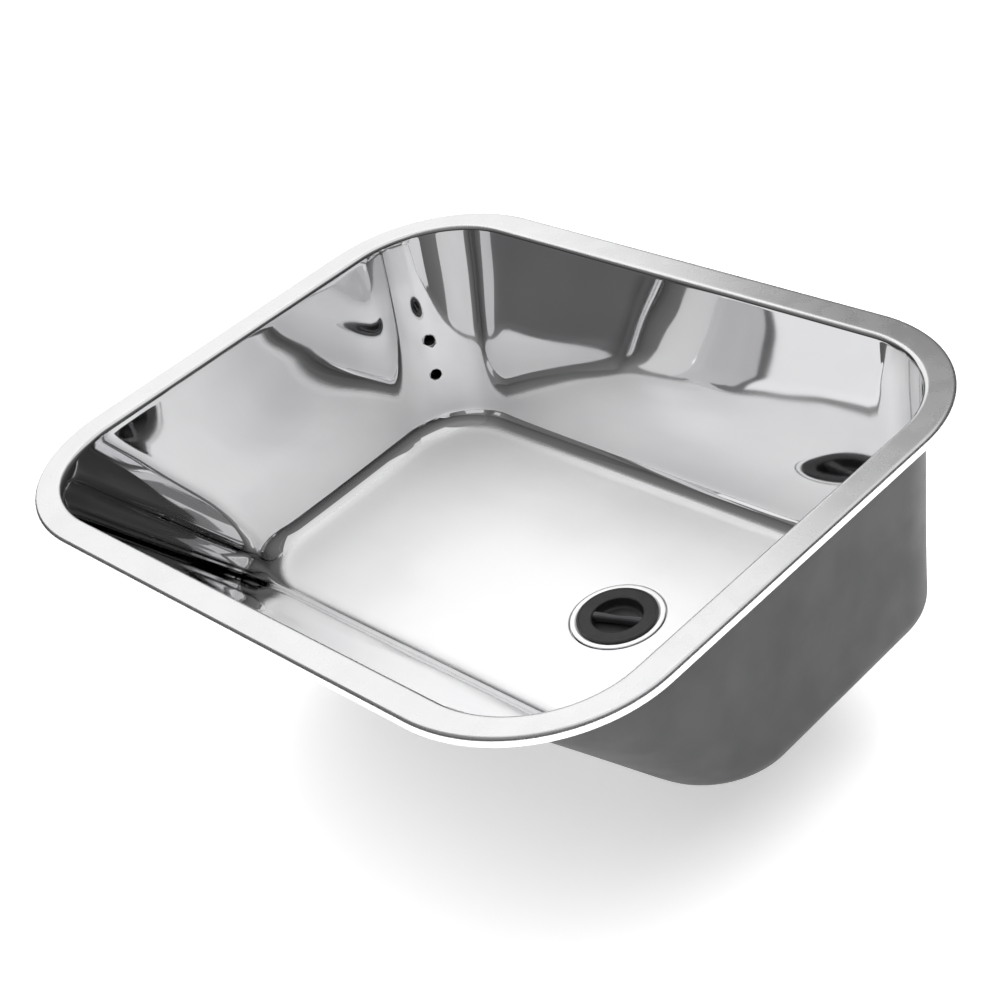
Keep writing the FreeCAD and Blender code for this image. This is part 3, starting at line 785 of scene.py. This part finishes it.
def studio_floor():
    """Pale floor under the object's lowest point."""
    mesh = bpy.data.meshes.new("studio_floor")
    work = bmesh.new()
    bmesh.ops.create_grid(work, x_segments=8, y_segments=8, size=8)
    work.to_mesh(mesh)
    work.free()
    floor = bpy.data.objects.new("studio_floor", mesh)
    bpy.context.scene.collection.objects.link(floor)
    floor.location.z = CAD_BOX[0][2]
    made, tree, shader = new_material("studio_paper", (0.9, 0.9, 0.9), 0, 0.9)
    tint(tree, shader, spread(tree, grain(tree, 2), 0, 1), (0.88, 0.88, 0.88), (0.9, 0.9, 0.9))
    shader.inputs["Emission Color"].default_value = (1, 1, 1, 1)
    shader.inputs["Emission Strength"].default_value = 0.5
    mesh.materials.append(made)


def studio_backdrop():
    """White paper all round, for the camera alone: the metal reflects the room behind it."""
    paper = bpy.data.materials.new("backdrop_paper")
    paper.use_nodes = True
    shader = paper.node_tree.nodes["Principled BSDF"]
    shader.inputs["Base Color"].default_value = (0, 0, 0, 1)
    shader.inputs["Emission Color"].default_value = (1, 1, 1, 1)
    shader.inputs["Emission Strength"].default_value = 1.0
    steps, radius, low, high = 64, 7.5, CAD_BOX[0][2] - 0.01, 9.0
    verts = []
    for z in (low, high):
        for i in range(steps):
            a = 2 * math.pi * i / steps
            verts.append((radius * math.cos(a), radius * math.sin(a), z))
    faces = [(i, (i + 1) % steps, steps + (i + 1) % steps, steps + i) for i in range(steps)]
    backdrop = mesh_piece("studio_backdrop", verts, faces, paper)
    for rays in ("visible_glossy", "visible_diffuse", "visible_shadow", "visible_transmission"):
        setattr(backdrop, rays, False)


def studio_world():
    """Room that is dim overhead and nearly black towards the horizon."""
    world = bpy.data.worlds.new("studio")
    bpy.context.scene.world = world
    world.use_nodes = True
    tree = world.node_tree
    place = tree.nodes.new("ShaderNodeTexCoord")
    split = tree.nodes.new("ShaderNodeSeparateXYZ")
    tree.links.new(place.outputs["Generated"], split.inputs["Vector"])
    ramp = tree.nodes.new("ShaderNodeValToRGB")
    tree.links.new(split.outputs["Z"], ramp.inputs["Fac"])
    stops = ((0.0, 0.02), (0.25, 0.05), (0.45, 0.13), (0.7, 0.19), (0.85, 0.28))
    for i, (where, level) in enumerate(stops):
        stop = ramp.color_ramp.elements[i] if i < 2 else ramp.color_ramp.elements.new(where)
        stop.position = where
        stop.color = (level, level, level, 1)
    tree.links.new(ramp.outputs["Color"], tree.nodes["Background"].inputs["Color"])


def softbox(name, heading, height, distance, size, radiance, in_reflections=True):
    """Area light in a direction from the origin, given in degrees, that faces the origin."""
    turn, rise = math.radians(heading), math.radians(height)
    out = Vector((math.cos(turn) * math.cos(rise), math.sin(turn) * math.cos(rise), math.sin(rise)))
    light = bpy.data.lights.new(name, "AREA")
    light.shape = "RECTANGLE"
    light.size, light.size_y = size
    light.energy = radiance * math.pi * size[0] * size[1]
    lamp = bpy.data.objects.new(name, light)
    lamp.location = out * distance
    lamp.rotation_euler = (-out).to_track_quat("-Z", "Y").to_euler()
    lamp.visible_glossy = in_reflections
    lamp.visible_camera = False
    bpy.context.scene.collection.objects.link(lamp)


def photo_camera():
    """Camera of the reference view: place, heading and dip of its axis, and roll."""
    place = Vector((0.8752, -0.6578, 0.7058))
    heading, dip, roll = (math.radians(a) for a in (142.86, 34.76, 15.05))
    forward = Vector((math.cos(heading) * math.cos(dip), math.sin(heading) * math.cos(dip), -math.sin(dip)))
    level = forward.cross(Vector((0, 0, 1))).normalized()
    right = level * math.cos(roll) - level.cross(forward) * math.sin(roll)
    up = right.cross(forward)
    camera = bpy.data.cameras.new("camera")
    camera.lens, camera.sensor_width = 72.92, 36
    holder = bpy.data.objects.new("camera", camera)
    axes = Matrix((right, up, -forward)).transposed().to_4x4()
    holder.matrix_world = Matrix.Translation(place) @ axes
    bpy.context.scene.collection.objects.link(holder)
    bpy.context.scene.camera = holder


photo_camera()
studio_floor()
studio_backdrop()
studio_world()
softbox("far_wall", 155, 31, 2.5, (2.0, 2.5), 0.9)
softbox("ceiling", 85, 68, 2.2, (2.4, 2.4), 0.55)
softbox("floor_fill", 0, 90, 3.2, (6, 6), 2.35, in_reflections=False)
bpy.context.scene.view_settings.view_transform = "Standard"
